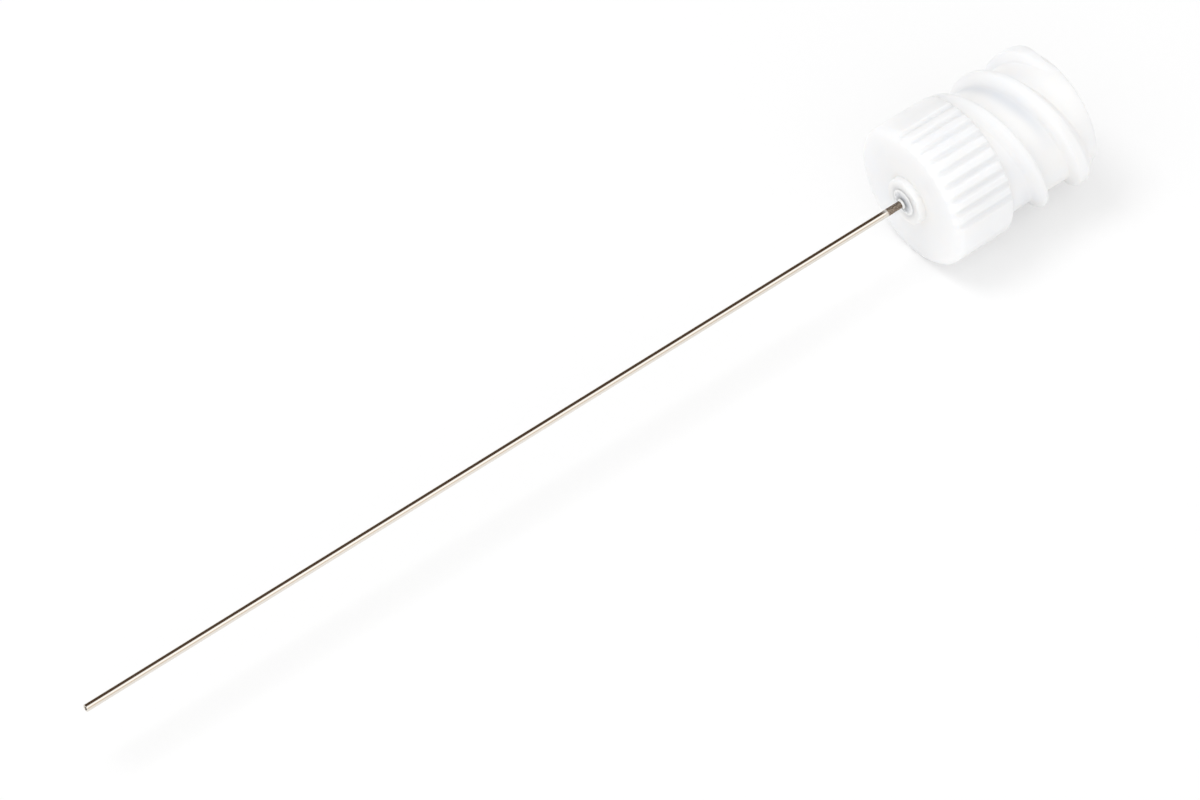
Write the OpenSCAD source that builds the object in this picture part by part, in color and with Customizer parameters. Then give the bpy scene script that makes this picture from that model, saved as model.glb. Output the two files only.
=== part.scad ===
// Dispensing needle tip: a moulded luer lock hub with a blunt steel cannula bonded into it.
// Each piece is drawn along +Z with the socket's mouth at z = 0, then laid on its side so that
// the mouth faces +X, the cannula points along -X and the ribbed collar rests on two of its ribs.

/* [Cannula] */
// Length of the cannula ahead of the hub's front face
cannula_l = 52.8; // [10:0.1:80]
// Outer diameter of the cannula, 27 gauge
cannula_d = 0.41; // [0.3:0.01:0.5]
// Bore of the cannula
cannula_bore = 0.21; // [0.1:0.01:0.25]
// Rounding of the cannula's deburred blunt end
cannula_round = 0.04; // [0.02:0.01:0.06]
// Radial gap between the cannula and the hub's bore
cannula_gap = 0.02; // [0.01:0.005:0.04]
// Length of the roughened band that keys the adhesive, ahead of the nose
rough_l = 1.1; // [0.7:0.05:2]
// Depth to which the roughened band is ground at its middle
rough_cut = 0.01; // [0.005:0.001:0.02]

/* [Hub] */
// Length from the front face to the socket's mouth
hub_l = 9.6; // [9:0.1:13]
// Diameter of the neck that carries the thread
neck_d = 6.7; // [6.2:0.05:6.9]
// Rounding of the neck's outer edge at the mouth
mouth_round = 0.12; // [0.05:0.01:0.25]

/* [Collar] */
// Diameter of the collar at its front face
collar_d = 8; // [7.9:0.05:9.5]
// Length of the collar
collar_l = 3.65; // [3:0.05:4.4]
// Moulding draft of the collar, in degrees
collar_draft = 0.6; // [0:0.1:1.5]
// Rounding of the collar's front edge
front_round = 0.5; // [0.1:0.05:0.7]
// Rounding of the collar's rear edge
rear_round = 0.15; // [0.05:0.05:0.3]

/* [Grip grooves] */
// Groove positions in a full turn of the collar
groove_turn = 32; // [26:1:36]
// Grooves in each of the two ribbed sectors
groove_count = 9; // [5:2:11]
// Radius of the round-bottomed grooves
groove_r = 0.2; // [0.14:0.01:0.24]
// Depth of the grooves
groove_depth = 0.17; // [0.08:0.01:0.22]
// Groove pitches that the hub is rolled by, so that it rests on two ribs
rest_pitches = 3; // [2:1:4]

/* [Luer lock thread] */
// Diameter over the thread ridges
thread_d = 7.8; // [7.5:0.05:7.9]
// Axial advance of a ridge in one full turn
thread_lead = 5; // [4:0.25:6]
// Number of ridges, evenly spaced round the neck
thread_starts = 2; // [1:1:2]
// Distance from a ridge's front foot to its pitch helix
ridge_reach = 0.65; // [0.5:0.05:0.8]
// Width of a ridge's steep front flank at its leading end
front_flank_w = 0.1; // [0.05:0.01:0.3]
// Width of a ridge's crest at its leading end
crest_w = 0.85; // [0.4:0.05:1]
// Width of a ridge's gentle rear flank at its leading end
rear_flank_w = 0.9; // [0.4:0.05:1]
// Width of the front flank once the ridge has narrowed
front_flank_end_w = 0.6; // [0.2:0.05:0.8]
// Width of the crest once the ridge has narrowed
crest_end_w = 0.12; // [0.06:0.02:0.6]
// Width of the rear flank once the ridge has narrowed
rear_flank_end_w = 0.17; // [0.1:0.01:0.6]
// Angle over which a ridge narrows from its leading end, in degrees
ridge_fade = 270; // [180:10:360]
// Turn angle at which a ridge's pitch helix would cross the mouth plane, in degrees
thread_phase = 154; // [0:1:359]
// Distance of the thread from the mouth plane
thread_setback = 0.15; // [0.1:0.05:0.6]
// Angle over which a ridge rises from the neck to full height, in degrees
ridge_ramp = 48; // [20:2:80]

/* [Luer socket] */
// Diameter of the tapered socket at its mouth
socket_d = 4.3; // [4.2:0.01:4.4]
// Taper of the socket, as diameter lost for each unit of depth
socket_taper = 0.06; // [0.05:0.005:0.07]
// Depth of the tapered part of the socket
socket_l = 7; // [6:0.1:7.4]
// Length of the straight land between the taper and the funnel
land_l = 0.5; // [0.3:0.05:0.7]
// Depth of the funnel from the socket's floor to the cannula
funnel_l = 0.45; // [0.2:0.05:0.6]
// Chamfer round the mouth of the socket
socket_chamfer = 0.12; // [0.05:0.01:0.25]

/* [Nose] */
// Diameter of the low nose round the cannula
nose_d = 2.6; // [2:0.1:4]
// Height of the nose above the front face
nose_h = 0.4; // [0.2:0.05:0.8]
// Rounding of the nose's front edge
nose_round = 0.12; // [0.05:0.01:0.18]
// Diameter of the adhesive well at the nose's front
well_d = 1.1; // [0.8:0.05:1.6]
// Depth of the adhesive well
well_l = 1; // [0.6:0.05:1.2]

/* [Bond] */
// Height that the adhesive climbs up the cannula above the nose
bead_h = 0.22; // [0.1:0.02:0.4]
// Diameter of the adhesive bead on the nose
bead_d = 1.5; // [1.1:0.05:1.9]

/* [Hidden] */

fine = 96;                                      // facets of the large round surfaces
small = 32;                                     // facets of the small round surfaces
arc_steps = 5;                                  // chords in each rounded corner
ridge_step = 4;                                 // degrees between sections of a ridge
ridge_bury = 0.3;                               // depth of a ridge's foot inside the neck
foot_sink = 0.05;                               // where a flank begins, below the neck's surface
shoulder = 0.85;                                // share of a ridge's height at the edges of its crest
shoulder_w = 0.15;                              // share of the crest's width in each rounded shoulder
ridge_overlap = 0.05;                           // reach of a ridge into the collar
past = 0.1;                                     // how far cutters pass the faces they open

neck_r = neck_d / 2;
collar_r = collar_d / 2;
collar_z = -hub_l;                              // the front face
collar_back_z = collar_z + collar_l;            // the step from collar to neck
collar_back_r = collar_r - collar_l * tan(collar_draft);
nose_z = collar_z - nose_h;                     // the nose's front face
groove_pitch = 360 / groove_turn;
ridge_h = (thread_d - neck_d) / 2;
thread_front_z = collar_back_z - ridge_overlap;
ridge_run = (-thread_front_z + 2 * ridge_reach) / thread_lead * 360;
socket_end_r = (socket_d - socket_taper * socket_l) / 2;
socket_floor_z = -socket_l - land_l;
cannula_r = cannula_d / 2;
bore_r = cannula_r + cannula_gap;
cannula_back_z = socket_floor_z - funnel_l;     // the cannula ends where the funnel does
cannula_tip_z = collar_z - cannula_l;

// Points along an arc round (x, y), both ends included
function arc(x, y, r, from, to) =
    [for (i = [0:arc_steps]) let (a = from + (to - from) * i / arc_steps) [x + r * cos(a), y + r * sin(a)]];

// Lays a piece drawn along +Z on its side, rolled so that it rests on two ribs
module lay_down() {
    rotate([0, 90, 0])
        rotate([0, 0, rest_pitches * groove_pitch])
            children();
}

// Nose, drafted collar and neck, revolved from one half section
module hub_body() {
    section = concat(
        [[0, nose_z]],
        arc(nose_d / 2 - nose_round, nose_z + nose_round, nose_round, -90, 0),
        [[nose_d / 2, collar_z]],
        arc(collar_r - front_round, collar_z + front_round, front_round, -90, 0),
        arc(collar_back_r - rear_round, collar_back_z - rear_round, rear_round, 0, 90),
        [[neck_r, collar_back_z]],
        arc(neck_r - mouth_round, -mouth_round, mouth_round, 0, 90),
        [[0, 0]]
    );
    rotate_extrude($fn = fine)
        polygon(section);
}

// Round-bottomed grooves that follow the collar's draft, in two opposite sectors
module grip_grooves() {
    reach = (groove_count - 1) / 2;
    for (side = [0, 180], k = [-reach:reach])
        rotate([0, 0, side + k * groove_pitch])
            translate([collar_r - groove_depth + groove_r, 0, collar_z])
                rotate([0, -collar_draft, 0])
                    translate([0, 0, -past])
                        cylinder(r = groove_r, h = collar_l + past + ridge_overlap, $fn = small);
}

// Height of a ridge above the neck at an angle measured back from its leading end
function ridge_rise(back) = ridge_h * min(1, back / ridge_ramp);

// A width that changes evenly while a ridge narrows, at an angle measured back from its leading end
function faded(back, from, to) = from + (to - from) * min(1, back / ridge_fade);

// One section of a ridge: its buried foot, steep front flank, rounded crest and gentle rear flank
function ridge_section(back) =
    let (
        turn = -back,
        z = -back / 360 * thread_lead,
        rise = ridge_rise(back),
        foot = -ridge_reach,
        crest_from = foot + faded(back, front_flank_w, front_flank_end_w),
        crest = faded(back, crest_w, crest_end_w),
        crest_to = crest_from + crest,
        heel = crest_to + faded(back, rear_flank_w, rear_flank_end_w),
        outline = [
            [foot, -ridge_bury],
            [foot, -foot_sink],
            [crest_from, rise * shoulder],
            [crest_from + crest * shoulder_w, rise],
            [crest_to - crest * shoulder_w, rise],
            [crest_to, rise * shoulder],
            [heel, -foot_sink],
            [heel, -ridge_bury]
        ]
    )
    [for (p = outline) [(neck_r + p[1]) * cos(turn), (neck_r + p[1]) * sin(turn), z + p[0]]];

// A right-hand ridge, swept back from its leading end at the mouth to inside the collar
module thread_ridge() {
    steps = ceil(ridge_run / ridge_step);
    sections = [for (i = [0:steps]) ridge_section(ridge_run - i * ridge_run / steps)];
    n = len(sections[0]);
    sides = [
        for (i = [0:steps - 1], j = [0:n - 1])
            let (a = i * n + j, b = i * n + (j + 1) % n)
                each [[a, b, a + n], [b, b + n, a + n]]
    ];
    caps = [[for (j = [n - 1:-1:0]) j], [for (j = [0:n - 1]) steps * n + j]];
    polyhedron(points = [for (s = sections) each s], faces = concat(sides, caps));
}

// The thread, cut off square at the collar and short of the mouth
module thread() {
    intersection() {
        for (k = [0:thread_starts - 1])
            rotate([0, 0, thread_phase + k * 360 / thread_starts])
                thread_ridge();
        translate([0, 0, thread_front_z])
            cylinder(r = thread_d, h = -thread_front_z - thread_setback, $fn = fine);
    }
}

// Tapered socket with its chamfered mouth, the straight land and the funnel down to the cannula
module luer_socket() {
    mouth_r = socket_d / 2 + socket_chamfer;
    rotate_extrude($fn = fine)
        polygon([
            [0, past],
            [mouth_r, past],
            [mouth_r, 0],
            [socket_d / 2 - socket_taper * socket_chamfer / 2, -socket_chamfer],
            [socket_end_r, -socket_l],
            [socket_end_r, socket_floor_z],
            [bore_r, cannula_back_z],
            [0, cannula_back_z]
        ]);
}

// Cone that holds the adhesive, from the cannula's bore out to a given height
module well_cone(top_z) {
    slope = (well_d / 2 - bore_r) / well_l;
    translate([0, 0, top_z])
        cylinder(r1 = well_d / 2 + slope * (nose_z - top_z), r2 = bore_r, h = nose_z + well_l - top_z, $fn = small);
}

// Moulded hub: ribbed collar, threaded neck, socket and adhesive well in one piece
module hub() {
    color("aliceblue", 0.6)
        lay_down()
            difference() {
                union() {
                    hub_body();
                    thread();
                }
                grip_grooves();
                luer_socket();
                well_cone(nose_z - past);
                translate([0, 0, nose_z])
                    cylinder(r = bore_r, h = cannula_back_z - nose_z + past, $fn = small);
            }
}

// Stainless steel cannula with a deburred blunt end and a roughened band beside the nose
module cannula() {
    section = concat(
        arc(cannula_bore / 2 + cannula_round, cannula_tip_z + cannula_round, cannula_round, 180, 270),
        arc(cannula_r - cannula_round, cannula_tip_z + cannula_round, cannula_round, 270, 360),
        [
            [cannula_r, nose_z - rough_l],
            [cannula_r - rough_cut, nose_z - rough_l / 2],
            [cannula_r, nose_z],
            [cannula_r, cannula_back_z],
            [cannula_bore / 2, cannula_back_z]
        ]
    );
    color("silver")
        lay_down()
            rotate_extrude($fn = small)
                polygon(section);
}

// Cured adhesive that fills the well and climbs the cannula in a small bead
module adhesive_bond() {
    color("oldlace")
        lay_down()
            difference() {
                union() {
                    well_cone(nose_z);
                    translate([0, 0, nose_z - bead_h])
                        cylinder(r1 = cannula_r + cannula_gap, r2 = bead_d / 2, h = bead_h, $fn = small);
                }
                translate([0, 0, nose_z - bead_h - past])
                    cylinder(r = cannula_r, h = bead_h + well_l + 2 * past, $fn = small);
            }
}

hub();
cannula();
adhesive_bond();
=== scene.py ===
"""Dispensing needle tip: milky moulded hub, steel cannula and adhesive bead, lying on a white floor."""

from math import cos, pi, radians, sin, tan

import bpy
import numpy as np
from mathutils import Matrix, Vector

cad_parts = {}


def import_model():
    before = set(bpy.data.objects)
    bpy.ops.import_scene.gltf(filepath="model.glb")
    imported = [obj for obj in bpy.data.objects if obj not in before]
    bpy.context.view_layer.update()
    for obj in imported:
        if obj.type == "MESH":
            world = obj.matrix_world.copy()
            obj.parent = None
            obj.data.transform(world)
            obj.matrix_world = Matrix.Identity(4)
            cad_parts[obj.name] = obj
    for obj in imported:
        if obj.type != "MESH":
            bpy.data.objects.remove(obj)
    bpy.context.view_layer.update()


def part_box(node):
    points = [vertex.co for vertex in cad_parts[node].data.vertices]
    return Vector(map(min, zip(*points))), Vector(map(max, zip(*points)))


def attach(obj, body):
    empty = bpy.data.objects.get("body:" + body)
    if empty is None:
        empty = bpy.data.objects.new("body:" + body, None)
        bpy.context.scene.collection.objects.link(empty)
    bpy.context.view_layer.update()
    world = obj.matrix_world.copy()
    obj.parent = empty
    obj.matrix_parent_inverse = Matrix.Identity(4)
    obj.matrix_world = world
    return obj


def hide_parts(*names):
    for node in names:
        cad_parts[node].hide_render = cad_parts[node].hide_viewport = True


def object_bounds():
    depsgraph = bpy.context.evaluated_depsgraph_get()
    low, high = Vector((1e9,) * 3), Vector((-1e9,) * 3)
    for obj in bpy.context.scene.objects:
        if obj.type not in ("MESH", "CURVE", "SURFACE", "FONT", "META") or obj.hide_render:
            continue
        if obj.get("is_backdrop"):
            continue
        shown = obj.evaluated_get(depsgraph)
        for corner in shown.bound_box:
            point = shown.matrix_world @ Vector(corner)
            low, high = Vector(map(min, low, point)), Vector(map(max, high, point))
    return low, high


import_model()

MM = 0.001

# ---------------------------------------------------------------- sizes, in millimetres and degrees
# Places along the axis come from model.glb: x = 0 is the socket's mouth, -X runs to the tip.
NOSE_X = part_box("hub")[0].x / MM
TIP_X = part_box("cannula")[0].x / MM
CANNULA_BACK_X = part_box("cannula")[1].x / MM
BEAD_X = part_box("adhesive_bond")[0].x / MM

# Cannula, with the matt band that is ground beside the nose
CANNULA_R = 0.205
CANNULA_BORE_R = 0.105
CANNULA_ROUND = 0.04
GROUND_L = 1.1
GROUND_CUT = 0.01
GROUND_SOFT = 0.03

# Nose, collar and neck
NOSE_H = 0.4
NOSE_R = 1.3
NOSE_ROUND = 0.12
NOSE_FILLET = 0.08
NOSE_FILLET_MIDDLE = 0.02
FACE_X = NOSE_X + NOSE_H
COLLAR_R = 4.0
COLLAR_L = 3.65
COLLAR_SLOPE = tan(radians(0.6))
COLLAR_BACK_X = FACE_X + COLLAR_L
FRONT_ROUND = 0.5
REAR_ROUND = 0.15
NECK_R = 3.35
MOUTH_ROUND = 0.12

# Grip grooves: two sectors of them; the collar lies on the groove REST_PITCHES from a sector's middle
GROOVE_PITCH = 360 / 32
GROOVE_COUNT = 9
GROOVE_R = 0.2
GROOVE_DEPTH = 0.17
GROOVE_LIP = 0.03
REST_PITCHES = 3

# Thread: each ridge leads near the mouth, and its widths go from the first to the second value.
# It stops SETBACK from the mouth, over RUNOUT, and LAPS are more turns than the neck holds.
THREAD_LEAD = 5.0
THREAD_STARTS = 2
THREAD_PHASE = 154.0
THREAD_LAPS = range(-3, 4)
THREAD_SETBACK = 0.15
THREAD_RUNOUT = 0.1
RIDGE_H = 0.55
RIDGE_REACH = 0.65
RIDGE_RAMP = 48.0
RIDGE_FADE = 270.0
RIDGE_SHOULDER = 0.15
FRONT_FLANK_W = (0.1, 0.6)
CREST_W = (0.85, 0.12)
REAR_FLANK_W = (0.9, 0.17)

# Socket, funnel, well and bore; the taper is 6 % of the diameter
SOCKET_R = 2.15
SOCKET_SLOPE = 0.06 / 2
SOCKET_L = 7.0
SOCKET_CHAMFER = 0.12
RIM_ROUND = 0.05
RIM_DROP = 0.02
LAND_L = 0.5
FUNNEL_L = 0.45
WELL_R = 0.55
WELL_L = 1.0
BORE_R = 0.225

# Adhesive: BOND_GAP keeps its skin from coinciding with the plastic's, and is the bead's least thickness
BEAD_R = 0.75
BEAD_HOLLOW = 2.2
BOND_GAP = 0.004

# The shaded thread root: its place ahead of the ridge, its width, and its run back from the start;
# NECK_SLACK tells the neck's skin from the socket's
ROOT_AHEAD = 0.3
ROOT_W = 0.42
ROOT_FROM = 110
ROOT_TO = 290
ROOT_BLEND = 60
NECK_SLACK = 0.01

# Steps of the meshes: TURN_STEPS is 16 to a groove's pitch
TURN_STEPS = 512
ARC_STEPS = 6
FRONT_STEPS = 12
COLLAR_STEPS = 6
NECK_STEPS = 130
SOCKET_STEPS = 8
TUBE_TURN_STEPS = 64
TUBE_STEPS = 40
GROUND_STEPS = 8
BEAD_STEPS = 16
SHARP_FROM = radians(50)


# ---------------------------------------------------------------- mesh helpers
def arc(x, r, radius, start, end, steps=ARC_STEPS):
    """Points (x, r) along a quarter round, with angles in degrees from the +x direction."""
    points = []
    for i in range(steps + 1):
        angle = radians(start + (end - start) * i / steps)
        points.append((x + radius * cos(angle), r + radius * sin(angle)))
    return points


def ring_mesh(name, rings):
    """A closed skin over rings of points in millimetres, where the last ring joins the first."""
    count = len(rings[0])
    vertices = [tuple(c * MM for c in p) for ring in rings for p in ring]
    faces = []
    for i in range(len(rings)):
        low = i * count
        high = (i + 1) % len(rings) * count
        for j in range(count):
            k = (j + 1) % count
            faces.append((low + j, low + k, high + k, high + j))
    mesh = bpy.data.meshes.new(name)
    mesh.from_pydata(vertices, [], faces)
    mesh.validate()
    for polygon in mesh.polygons:
        polygon.use_smooth = True
    mesh.set_sharp_from_angle(angle=SHARP_FROM)
    piece = bpy.data.objects.new(name, mesh)
    bpy.context.scene.collection.objects.link(piece)
    return piece


def store(piece, name, values):
    """Keeps one number for each point of a mesh, for its material to read."""
    attribute = piece.data.attributes.new(name, "FLOAT", "POINT")
    attribute.data.foreach_set("value", values.astype(np.float32))


def revolve(name, profile):
    """Turns a closed outline of (x, r) points round the X axis."""
    turns = [2 * pi * j / TUBE_TURN_STEPS for j in range(TUBE_TURN_STEPS)]
    return ring_mesh(name, [[(x, r * cos(t), r * sin(t)) for t in turns] for x, r in profile])


# ---------------------------------------------------------------- hub
def smooth_step(t):
    """0 below t = 0, 1 above t = 1, with a soft start and end."""
    t = np.clip(t, 0, 1)
    return t * t * (3 - 2 * t)


def local_turn(turn):
    """The hub's own turn angle, in degrees, of a direction round the X axis measured from +Y."""
    return np.degrees(turn) + 90 - REST_PITCHES * GROOVE_PITCH


def groove_cut(turn):
    """Depth of the grip grooves at a turn angle, with softened lips."""
    angle = (local_turn(turn) + 90) % 180 - 90
    index = np.clip(np.round(angle / GROOVE_PITCH), -(GROOVE_COUNT // 2), GROOVE_COUNT // 2)
    across = np.radians(angle - index * GROOVE_PITCH) * COLLAR_R
    floor = np.sqrt(np.clip(GROOVE_R ** 2 - across ** 2, 0, None)) - (GROOVE_R - GROOVE_DEPTH)
    floor[np.abs(across) >= GROOVE_R] = -GROOVE_LIP
    return 0.5 * (floor + np.sqrt(floor ** 2 + GROOVE_LIP ** 2))


def collar_radius(x):
    """Radius over the collar's ribs, which narrows toward the neck by the mould's draft."""
    return COLLAR_R - (x - FACE_X) * COLLAR_SLOPE


def socket_radius(depth):
    """Radius of the tapered socket at a depth from its mouth."""
    return SOCKET_R - SOCKET_SLOPE * depth


def ridge_backs(turn):
    """For each lap of each ridge, the angle back from its leading end, in degrees, at the turn angles."""
    for start in range(THREAD_STARTS):
        first = local_turn(turn) - THREAD_PHASE - start * 360 / THREAD_STARTS
        for lap in THREAD_LAPS:
            yield -(first + lap * 360)


def ridge_foot(back):
    """Where a ridge's front flank rises from the neck, at an angle back from its leading end."""
    return -back / 360 * THREAD_LEAD - RIDGE_REACH


def faded(back, widths):
    """A width of a ridge's section at an angle back from its leading end."""
    return widths[0] + (widths[1] - widths[0]) * np.clip(back / RIDGE_FADE, 0, 1)


def ridge_rise(turn, x):
    """Height of the thread's ridges above the neck at a turn angle and a place along the axis."""
    rise = np.zeros_like(turn)
    for back in ridge_backs(turn):
        foot = ridge_foot(back)
        front = faded(back, FRONT_FLANK_W)
        crest = faded(back, CREST_W)
        rear = faded(back, REAR_FLANK_W)
        climb = (x - foot) / (front + RIDGE_SHOULDER * crest)
        drop = (foot + front + crest + rear - x) / (rear + RIDGE_SHOULDER * crest)
        ramp = smooth_step(back / RIDGE_RAMP)
        rise = np.maximum(rise, RIDGE_H * ramp * smooth_step(np.minimum(climb, drop)))
    return rise * smooth_step((-THREAD_SETBACK - x) / THREAD_RUNOUT)


def root_shade(turn, x, r):
    """Light lost in the root ahead of a ridge, from 0 to 1, about half a turn from the ridge's start."""
    shade = np.zeros_like(turn)
    for back in ridge_backs(turn):
        middle = ridge_foot(back) - ROOT_AHEAD
        begun = smooth_step((back - ROOT_FROM) / ROOT_BLEND)
        unended = smooth_step((ROOT_TO - back) / ROOT_BLEND)
        shade = np.maximum(shade, begun * unended * np.exp(-((x - middle) / ROOT_W) ** 2))
    return shade * (x > COLLAR_BACK_X) * (r > NECK_R - NECK_SLACK)


def groove_depth(x, r, cut):
    """How deep a ring's points lie in the grip grooves, from 0 on a rib to 1 on a groove's floor."""
    ribbed = (x > FACE_X) & (x < COLLAR_BACK_X) & (r > NECK_R)
    return ribbed * cut / GROOVE_DEPTH


def wall_thickness(x, r):
    """Distance from a ring's points to the socket, or to the bore ahead of it, in millimetres."""
    depth = np.clip(-x, 0, SOCKET_L + LAND_L + FUNNEL_L)
    hollow = np.where(-x < SOCKET_L + LAND_L, socket_radius(depth), BORE_R)
    return np.clip(r - hollow, 0, None)


def build_hub():
    """The moulded hub as one skin: nose, ribbed collar, threaded neck, socket, funnel, bore and well."""
    turn = np.arange(TURN_STEPS) * 2 * pi / TURN_STEPS
    cut = groove_cut(turn)
    back_r = collar_radius(COLLAR_BACK_X)
    rings = []

    def plain(points):
        for x, r in points:
            rings.append((np.full_like(turn, x), np.full_like(turn, r)))

    def ribbed(points):
        for x, r in points:
            rings.append((np.full_like(turn, x), np.minimum(r, collar_radius(x) - cut)))

    # Nose and face
    plain([(NOSE_X, WELL_R), (NOSE_X, NOSE_R - 2 * NOSE_ROUND)])
    plain(arc(NOSE_X + NOSE_ROUND, NOSE_R - NOSE_ROUND, NOSE_ROUND, 180, 90))
    plain([(FACE_X - NOSE_FILLET, NOSE_R)])
    plain([(FACE_X - NOSE_FILLET_MIDDLE, NOSE_R + NOSE_FILLET_MIDDLE)])
    plain([(FACE_X, NOSE_R + NOSE_FILLET)])
    plain([(FACE_X, 0.5 * (NOSE_R + COLLAR_R)), (FACE_X, COLLAR_R - 2 * FRONT_ROUND)])

    # Collar
    ribbed(arc(FACE_X + FRONT_ROUND, COLLAR_R - FRONT_ROUND, FRONT_ROUND, 180, 90, FRONT_STEPS))
    for i in range(1, COLLAR_STEPS):
        x = FACE_X + FRONT_ROUND + (COLLAR_L - FRONT_ROUND - REAR_ROUND) * i / COLLAR_STEPS
        ribbed([(x, collar_radius(x))])
    ribbed(arc(COLLAR_BACK_X - REAR_ROUND, back_r - REAR_ROUND, REAR_ROUND, 90, 0))

    # Neck and mouth
    for i in range(NECK_STEPS + 1):
        x = COLLAR_BACK_X + (-MOUTH_ROUND - COLLAR_BACK_X) * i / NECK_STEPS
        rings.append((np.full_like(turn, x), NECK_R + ridge_rise(turn, x)))
    plain(arc(-MOUTH_ROUND, NECK_R - MOUTH_ROUND, MOUTH_ROUND, 90, 0)[1:])

    # Socket, land, funnel and bore, from which the last ring joins the first along the well
    plain([(0, SOCKET_R + SOCKET_CHAMFER + RIM_ROUND)])
    plain([(-RIM_DROP, SOCKET_R + SOCKET_CHAMFER - RIM_DROP), (-SOCKET_CHAMFER, SOCKET_R)])
    for i in range(1, SOCKET_STEPS + 1):
        depth = SOCKET_CHAMFER + (SOCKET_L - SOCKET_CHAMFER) * i / SOCKET_STEPS
        plain([(-depth, socket_radius(depth))])
    plain([(-SOCKET_L - LAND_L, socket_radius(SOCKET_L))])
    plain([(-SOCKET_L - LAND_L - FUNNEL_L, BORE_R), (NOSE_X + WELL_L, BORE_R)])

    points = [np.stack([x, r * np.cos(turn), r * np.sin(turn)], axis=1).tolist() for x, r in rings]
    piece = ring_mesh("hub_moulding", points)
    # These numbers steer painted shade in the grooves and thread root, and painted light and shade by the
    # wall's thickness
    store(piece, "painted_groove_shade", np.concatenate([groove_depth(x, r, cut) for x, r in rings]))
    store(piece, "root", np.concatenate([root_shade(turn, x, r) for x, r in rings]))
    store(piece, "wall", np.concatenate([wall_thickness(x, r) for x, r in rings]))
    return piece


hub = build_hub()
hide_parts("hub")
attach(hub, "root")


# ---------------------------------------------------------------- cannula and bond
def cannula_radius(x):
    """Outer radius of the cannula, which is ground to a shallow waist beside the nose."""
    middle = NOSE_X - GROUND_L / 2
    return CANNULA_R - GROUND_CUT * max(0, 1 - abs(x - middle) / (GROUND_L / 2))


def build_cannula():
    """A tube with a softly rounded, blunt tip and a square end inside the hub."""
    start = TIP_X + CANNULA_ROUND
    ground_x = NOSE_X - GROUND_L
    profile = arc(start, CANNULA_BORE_R + CANNULA_ROUND, CANNULA_ROUND, 270, 180)
    profile += arc(start, CANNULA_R - CANNULA_ROUND, CANNULA_ROUND, 180, 90)
    for i in range(1, TUBE_STEPS + 1):
        profile.append((start + (ground_x - start) * i / TUBE_STEPS, CANNULA_R))
    for i in range(1, GROUND_STEPS + 1):
        x = ground_x + GROUND_L * i / GROUND_STEPS
        profile.append((x, cannula_radius(x)))
    profile += [(CANNULA_BACK_X, CANNULA_R), (CANNULA_BACK_X, CANNULA_BORE_R)]
    return revolve("cannula_tube", profile)


def build_bond():
    """The adhesive: a cone in the well and a hollow-cheeked bead that climbs the cannula."""
    profile = []
    for i in range(BEAD_STEPS + 1):
        t = i / BEAD_STEPS
        x = BEAD_X + (NOSE_X - BEAD_X) * t
        inner = cannula_radius(x)
        outer = inner + BOND_GAP * (1 - t) + (BEAD_R - inner) * t ** BEAD_HOLLOW
        profile.append((x - BOND_GAP * t, outer))
    well_end = NOSE_X + WELL_L - BOND_GAP
    profile += [(NOSE_X + BOND_GAP, WELL_R - BOND_GAP), (well_end, BORE_R), (well_end, CANNULA_R)]
    profile += [(NOSE_X, CANNULA_R), (BEAD_X, cannula_radius(BEAD_X))]
    return revolve("adhesive_bead", profile)


cannula = build_cannula()
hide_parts("cannula")
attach(cannula, "root")

bond = build_bond()
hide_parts("adhesive_bond")
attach(bond, "root")


# ---------------------------------------------------------------- material helpers
def new_material(name):
    """A material with its nodes, its links and its Principled shader."""
    material = bpy.data.materials.new(name)
    material.use_nodes = True
    nodes = material.node_tree.nodes
    return material, nodes, material.node_tree.links, nodes["Principled BSDF"]


def object_place(nodes):
    """Coordinates that are fixed to the object, in metres."""
    return nodes.new("ShaderNodeTexCoord").outputs["Object"]


def object_noise(nodes, links, scale, detail=2.0, stretch=(1, 1, 1)):
    """Noise that is fixed to the object; stretch scales its coordinates along each axis."""
    mapping = nodes.new("ShaderNodeMapping")
    mapping.inputs["Scale"].default_value = stretch
    noise = nodes.new("ShaderNodeTexNoise")
    noise.inputs["Scale"].default_value = scale
    noise.inputs["Detail"].default_value = detail
    links.new(object_place(nodes), mapping.inputs["Vector"])
    links.new(mapping.outputs["Vector"], noise.inputs["Vector"])
    return noise.outputs["Fac"]


def ramp(nodes, links, value, stops):
    """Colours a value by a list of (position, colour) stops."""
    node = nodes.new("ShaderNodeValToRGB")
    elements = node.color_ramp.elements
    while len(elements) < len(stops):
        elements.new(0.5)
    for element, (position, colour) in zip(elements, stops):
        element.position = position
        element.color = (*colour, 1)
    links.new(value, node.inputs["Fac"])
    return node.outputs["Color"]


def stored(nodes, name):
    """A number that store() kept for each point of the mesh."""
    node = nodes.new("ShaderNodeAttribute")
    node.attribute_name = name
    return node.outputs["Fac"]


def blend(nodes, links, factor, first, second):
    """Mixes two colours by a factor; second may be a plain colour."""
    node = nodes.new("ShaderNodeMix")
    node.data_type = "RGBA"
    links.new(factor, node.inputs["Factor"])
    links.new(first, node.inputs["A"])
    if isinstance(second, tuple):
        node.inputs["B"].default_value = (*second, 1)
    else:
        links.new(second, node.inputs["B"])
    return node.outputs["Result"]


def scaled(nodes, links, value, low, high, to_low=0.0, to_high=1.0):
    """Maps a value's range onto another, with its ends held."""
    node = nodes.new("ShaderNodeMapRange")
    node.inputs["From Min"].default_value = low
    node.inputs["From Max"].default_value = high
    node.inputs["To Min"].default_value = to_low
    node.inputs["To Max"].default_value = to_high
    links.new(value, node.inputs["Value"])
    return node.outputs["Result"]


def computed(nodes, links, operation, first, second):
    """The result of a Math node; second may be a plain number."""
    node = nodes.new("ShaderNodeMath")
    node.operation = operation
    links.new(first, node.inputs[0])
    if isinstance(second, float):
        node.inputs[1].default_value = second
    else:
        links.new(second, node.inputs[1])
    return node.outputs["Value"]


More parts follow.
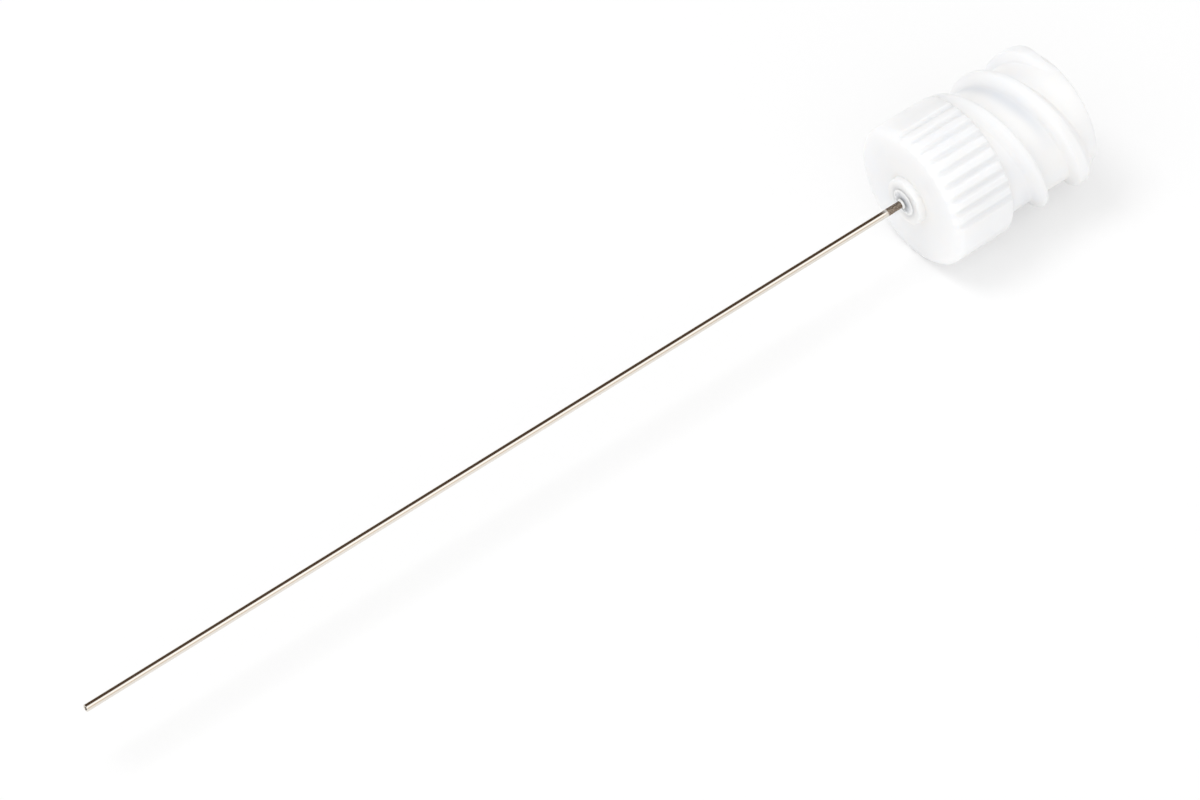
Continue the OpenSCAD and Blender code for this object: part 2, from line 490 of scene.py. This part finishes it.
def vector_node(nodes, links, operation, first, second=None):
    """The Vector Math node that works on first and, where it needs one, a plain second vector."""
    node = nodes.new("ShaderNodeVectorMath")
    node.operation = operation
    links.new(first, node.inputs[0])
    if second:
        node.inputs[1].default_value = second
    return node


# ---------------------------------------------------------------- materials
# Plastic by the thickness of its wall, in millimetres, as painted light and shade through the wall, then
# its places of painted shade
WALL_THIN, WALL_THICK = 0.2, 2.2
# Painted light and shade: brighter cream where a thin wall lets light through, darker cool grey where the
# hollow and cannula show through
PLASTIC_LIGHT_AND_SHADE_BY_WALL = [
    (0.0, (0.80, 0.81, 0.835)),
    (0.3, (0.93, 0.917, 0.895)),
    (0.6, (0.915, 0.91, 0.905)),
    (1.0, (0.895, 0.895, 0.90)),
]
PLASTIC_FLOW = (0.88, 0.89, 0.915)
# Painted shade in the grip grooves
PLASTIC_GROOVE_SHADE = (0.865, 0.87, 0.88)
# Painted shade along one thread root
PLASTIC_ROOT_SHADE = (0.76, 0.775, 0.80)

# Steel by its drawn streaks, and the ground band by its grit
STEEL_BY_STREAK = [(0.35, (0.76, 0.72, 0.66)), (0.65, (0.87, 0.83, 0.77))]
GROUND_BY_GRIT = [(0.38, (0.13, 0.095, 0.07)), (0.60, (0.44, 0.37, 0.30))]
GROUND_ROUGH = 0.55

# Adhesive from the tube's wall out to the bead's rim: the meniscus's painted highlight, painted shade of
# steel seen through it, body, thin rim
BOND_HIGHLIGHT_AND_SHADE_BY_RADIUS = [
    (0.1, (0.84, 0.84, 0.83)),
    (0.2, (0.13, 0.14, 0.15)),
    (0.5, (0.55, 0.57, 0.60)),
    (0.9, (0.92, 0.92, 0.92)),
]
BOND_CLOUD = (0.93, 0.93, 0.94)


def hub_plastic():
    """Milky polypropylene, satin on top, with painted light and shade: cooler in a thin wall, greyer with
    painted shade in the grooves and one root.
    """
    material, nodes, links, shader = new_material("hub_plastic")
    shader.inputs["IOR"].default_value = 1.49
    shader.inputs["Subsurface Weight"].default_value = 1.0
    shader.inputs["Subsurface Radius"].default_value = (1.0, 0.95, 0.9)
    shader.inputs["Subsurface Scale"].default_value = 0.0013
    # Painted light and shade by the wall's thickness, standing in for light through the milky plastic
    wall = scaled(nodes, links, stored(nodes, "wall"), low=WALL_THIN, high=WALL_THICK)
    tint = ramp(nodes, links, wall, PLASTIC_LIGHT_AND_SHADE_BY_WALL)
    flow = object_noise(nodes, links, scale=260, stretch=(0.5, 1, 1))
    flow = scaled(nodes, links, flow, low=0.45, high=0.75)
    tint = blend(nodes, links, flow, tint, PLASTIC_FLOW)
    # Painted shade: greyer by how deep a point lies in a grip groove
    tint = blend(nodes, links, stored(nodes, "painted_groove_shade"), tint, PLASTIC_GROOVE_SHADE)
    # Painted shade: greyer along one thread root
    tint = blend(nodes, links, stored(nodes, "root"), tint, PLASTIC_ROOT_SHADE)
    links.new(tint, shader.inputs["Base Color"])
    grain = object_noise(nodes, links, scale=900, detail=4.0)
    rough = scaled(nodes, links, grain, low=0.3, high=0.7, to_low=0.28, to_high=0.42)
    links.new(rough, shader.inputs["Roughness"])
    return material


def cannula_steel():
    """Drawn stainless steel with fine streaks along the tube, and a matt ground band beside the hub."""
    material, nodes, links, shader = new_material("cannula_steel")
    shader.inputs["Metallic"].default_value = 1.0
    streaks = object_noise(nodes, links, scale=900, detail=3.0, stretch=(0.02, 6, 6))
    steel = ramp(nodes, links, streaks, STEEL_BY_STREAK)
    split = nodes.new("ShaderNodeSeparateXYZ")
    links.new(object_place(nodes), split.inputs["Vector"])
    band_x = (NOSE_X - GROUND_L) * MM
    soft = GROUND_SOFT * MM
    band = scaled(nodes, links, split.outputs["X"], low=band_x - soft, high=band_x + soft)
    ground = ramp(nodes, links, object_noise(nodes, links, scale=20000), GROUND_BY_GRIT)
    links.new(blend(nodes, links, band, steel, ground), shader.inputs["Base Color"])
    drawn = scaled(nodes, links, streaks, low=0.3, high=0.7, to_low=0.10, to_high=0.18)
    rough = nodes.new("ShaderNodeMix")
    links.new(band, rough.inputs["Factor"])
    links.new(drawn, rough.inputs["A"])
    rough.inputs["B"].default_value = GROUND_ROUGH
    links.new(rough.outputs["Result"], shader.inputs["Roughness"])
    return material


def bond_adhesive():
    """Milky cured adhesive: a painted highlight where it climbs the tube, and painted shade beside it for
    the steel seen through.
    """
    material, nodes, links, shader = new_material("bond_adhesive")
    shader.inputs["IOR"].default_value = 1.4
    across = vector_node(nodes, links, "MULTIPLY", object_place(nodes), (0.0, 1.0, 1.0))
    from_axis = vector_node(nodes, links, "LENGTH", across.outputs["Vector"])
    radius = scaled(nodes, links, from_axis.outputs["Value"], low=CANNULA_R * MM, high=BEAD_R * MM)
    # Painted highlight on the meniscus and painted shade of the steel seen through, by distance from the
    # tube
    tint = ramp(nodes, links, radius, BOND_HIGHLIGHT_AND_SHADE_BY_RADIUS)
    cloud = object_noise(nodes, links, scale=3000, detail=3.0)
    cloudy = scaled(nodes, links, cloud, low=0.35, high=0.7, to_high=0.3)
    rough = scaled(nodes, links, cloud, low=0.3, high=0.7, to_low=0.2, to_high=0.34)
    links.new(blend(nodes, links, cloudy, tint, BOND_CLOUD), shader.inputs["Base Color"])
    links.new(rough, shader.inputs["Roughness"])
    return material


hub.data.materials.append(hub_plastic())
cannula.data.materials.append(cannula_steel())
bond.data.materials.append(bond_adhesive())


# ---------------------------------------------------------------- floor, light and camera
FLOOR_HALF = 6.0
FLOOR_GLOW = 0.47
FLOOR_WHITE = (0.94, 0.94, 0.94, 1)

# The world: what lights the part goes by the lean toward the tent, what is mirrored by the lean ahead
TENT_STRENGTH = 1.3
TENT_TOWARDS = (-0.36, -0.4, 0.84)
LIT_BY_TENT = [(0.4, (0.45, 0.45, 0.45)), (0.6, (0.66, 0.66, 0.66))]
AHEAD = (0.0, -1.0, 0.0)
ROOM_DARK = (0.062, 0.038, 0.022)
TENT_WHITE = (1.0, 1.0, 1.0)
SKIRT_TAN = (0.62, 0.53, 0.44)
MIRRORED_BY_AHEAD = [(0.06, ROOM_DARK), (0.24, TENT_WHITE), (0.72, TENT_WHITE), (0.86, SKIRT_TAN)]

# The camera: its view's width, and how far right of and above the picture's centre the hub's face lies
VIEW_WIDTH = 60.9 * MM
FACE_RIGHT = 15.707 * MM
FACE_UP = 10.211 * MM


def floor():
    """A white floor that glows a little in the camera's view and in gloss, so its shadows stay soft."""
    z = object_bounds()[0][2]
    corners = [(-1, -1), (1, -1), (1, 1), (-1, 1)]
    mesh = bpy.data.meshes.new("floor")
    mesh.from_pydata([(x * FLOOR_HALF, y * FLOOR_HALF, z) for x, y in corners], [], [(0, 1, 2, 3)])
    piece = bpy.data.objects.new("floor", mesh)
    bpy.context.scene.collection.objects.link(piece)
    material, nodes, links, shader = new_material("floor_white")
    shader.inputs["Base Color"].default_value = FLOOR_WHITE
    shader.inputs["Roughness"].default_value = 0.9
    shader.inputs["Specular IOR Level"].default_value = 0.0
    glow = nodes.new("ShaderNodeEmission")
    glow.inputs["Color"].default_value = (1, 1, 1, 1)
    glow.inputs["Strength"].default_value = 1.0
    ray = nodes.new("ShaderNodeLightPath").outputs
    seen = computed(nodes, links, "MAXIMUM", ray["Is Camera Ray"], ray["Is Glossy Ray"])
    seen = computed(nodes, links, "MAXIMUM", seen, ray["Is Transmission Ray"])
    mix = nodes.new("ShaderNodeMixShader")
    links.new(computed(nodes, links, "MULTIPLY", seen, FLOOR_GLOW), mix.inputs["Fac"])
    links.new(shader.outputs["BSDF"], mix.inputs[1])
    links.new(glow.outputs["Emission"], mix.inputs[2])
    links.new(mix.outputs["Shader"], nodes["Material Output"].inputs["Surface"])
    mesh.materials.append(material)
    piece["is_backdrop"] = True


def world():
    """A light tent over the front and top; gloss also mirrors a dark room behind and a tan skirt ahead."""
    studio = bpy.data.worlds.new("studio")
    bpy.context.scene.world = studio
    studio.use_nodes = True
    nodes = studio.node_tree.nodes
    links = studio.node_tree.links
    direction = nodes.new("ShaderNodeTexCoord").outputs["Generated"]
    to_tent = vector_node(nodes, links, "DOT_PRODUCT", direction, TENT_TOWARDS)
    ahead = vector_node(nodes, links, "DOT_PRODUCT", direction, AHEAD)
    lit = ramp(nodes, links, to_tent.outputs["Value"], LIT_BY_TENT)
    mirrored = ramp(nodes, links, ahead.outputs["Value"], MIRRORED_BY_AHEAD)
    glossy = nodes.new("ShaderNodeLightPath").outputs["Is Glossy Ray"]
    background = nodes["Background"]
    links.new(blend(nodes, links, glossy, lit, mirrored), background.inputs["Color"])
    background.inputs["Strength"].default_value = TENT_STRENGTH


def softbox(name, towards, distance, size, power):
    """A round lamp aimed at the origin, which lights the part but isn't mirrored in it."""
    light = bpy.data.lights.new(name, "AREA")
    light.shape = "DISK"
    light.size = size
    light.energy = power
    lamp = bpy.data.objects.new(name, light)
    bpy.context.scene.collection.objects.link(lamp)
    towards = Vector(towards).normalized()
    lamp.location = towards * distance
    lamp.rotation_euler = towards.to_track_quat("Z", "Y").to_euler()
    lamp.visible_glossy = False


def camera():
    """Looks down on the needle, whose axis climbs to the right and recedes, as in the photograph."""
    # The axis' climb in the picture, its lean away from the camera, and the part's roll about it
    rise = radians(31.75)
    recede = radians(23.5)
    up_turn = radians(-36.75)
    axis = Vector((cos(recede) * cos(rise), cos(recede) * sin(rise), -sin(recede)))
    near = Vector((sin(recede) * cos(rise), sin(recede) * sin(rise), cos(recede)))
    down = Vector((sin(rise), -cos(rise), 0))
    up = near * cos(up_turn) + down * sin(up_turn)
    turn = Matrix((axis, up.cross(axis), up))
    data = bpy.data.cameras.new("camera")
    data.lens = 500.0
    data.sensor_width = 36.0
    data.clip_start = 0.01
    data.clip_end = 100
    item = bpy.data.objects.new("camera", data)
    bpy.context.scene.collection.objects.link(item)
    bpy.context.scene.camera = item
    distance = VIEW_WIDTH * data.lens / data.sensor_width
    face = Vector((FACE_X * MM, 0, 0))
    place = face + turn @ Vector((-FACE_RIGHT, -FACE_UP, distance))
    item.matrix_world = Matrix.Translation(place) @ turn.to_4x4()


floor()
world()
softbox("key", towards=(-0.28, 0.26, 0.92), distance=0.8, size=0.38, power=1.88)
softbox("fill", towards=(-0.35, -0.8, 0.4), distance=0.8, size=0.9, power=1.08)
camera()
bpy.context.scene.view_settings.view_transform = "Standard"
